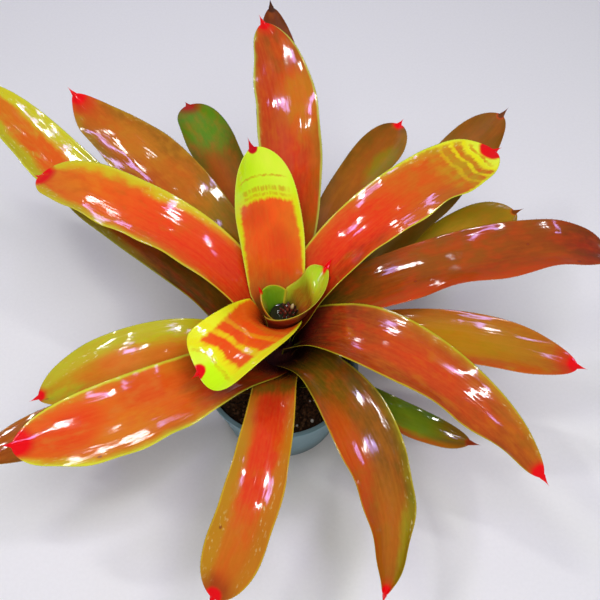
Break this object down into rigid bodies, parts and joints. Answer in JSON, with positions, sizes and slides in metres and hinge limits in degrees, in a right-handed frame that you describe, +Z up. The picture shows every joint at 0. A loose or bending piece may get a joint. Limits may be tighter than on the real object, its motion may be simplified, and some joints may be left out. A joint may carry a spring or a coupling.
{
  "type": "potted bromeliad",
  "caption": "Potted neoregelia bromeliad: a spreading rosette of broad, spine-tipped strap leaves round a water-filled cup with a small flower head, in a round plastic pot.",
  "frame": {"origin": "centre of the flat pad under the pot's floor, on the surface that the pot stands on", "axes": "+Z up along the pot's axis, -Y towards the side where the innermost leaf curls over, +X to its right"},
  "size_m": [0.5889, 0.5146, 0.3222],
  "materials": {
    "pot_plastic": "pale blue-grey moulded plastic, satin",
    "bark_mix": "dark, damp bark and grit, matt",
    "stem": "brown, fibrous, matt",
    "cup_water": "dark still water, mirror-smooth",
    "flower_buds": "reddish-brown buds with pale tips, satin",
    "young_leaf": "orange-red blade with a lime tip and margins, glossy",
    "leaf": "orange-red blade with yellow-green margins and a red spined tip, glossy",
    "old_leaf": "brown-olive blade with orange flushes, glossy"
  },
  "bodies": {
    "root": {"pot": "pot_plastic", "potting_mix": "bark_mix", "rootstock": "stem", "tank_water": "cup_water", "flower_head": "flower_buds", "leaf_cup_left": "young_leaf", "leaf_cup_right": "young_leaf", "leaf_front_curl": "young_leaf", "leaf_back_upright": "young_leaf", "leaf_right_upper": "young_leaf", "leaf_left_upper": "leaf", "leaf_right_front": "leaf", "leaf_back_tall": "leaf", "leaf_right_long": "old_leaf", "leaf_left_back": "old_leaf", "leaf_front_right": "leaf", "leaf_left_front": "leaf", "leaf_front_low": "leaf", "leaf_back_right": "old_leaf", "leaf_right_mid": "old_leaf", "leaf_left_mid": "old_leaf", "leaf_back_left": "old_leaf", "leaf_back_right_low": "old_leaf", "leaf_far_left": "leaf", "leaf_back_hidden": "old_leaf", "leaf_right_low": "old_leaf", "leaf_front_tucked": "old_leaf", "leaf_left_low": "old_leaf"}
  },
  "joints": []
}
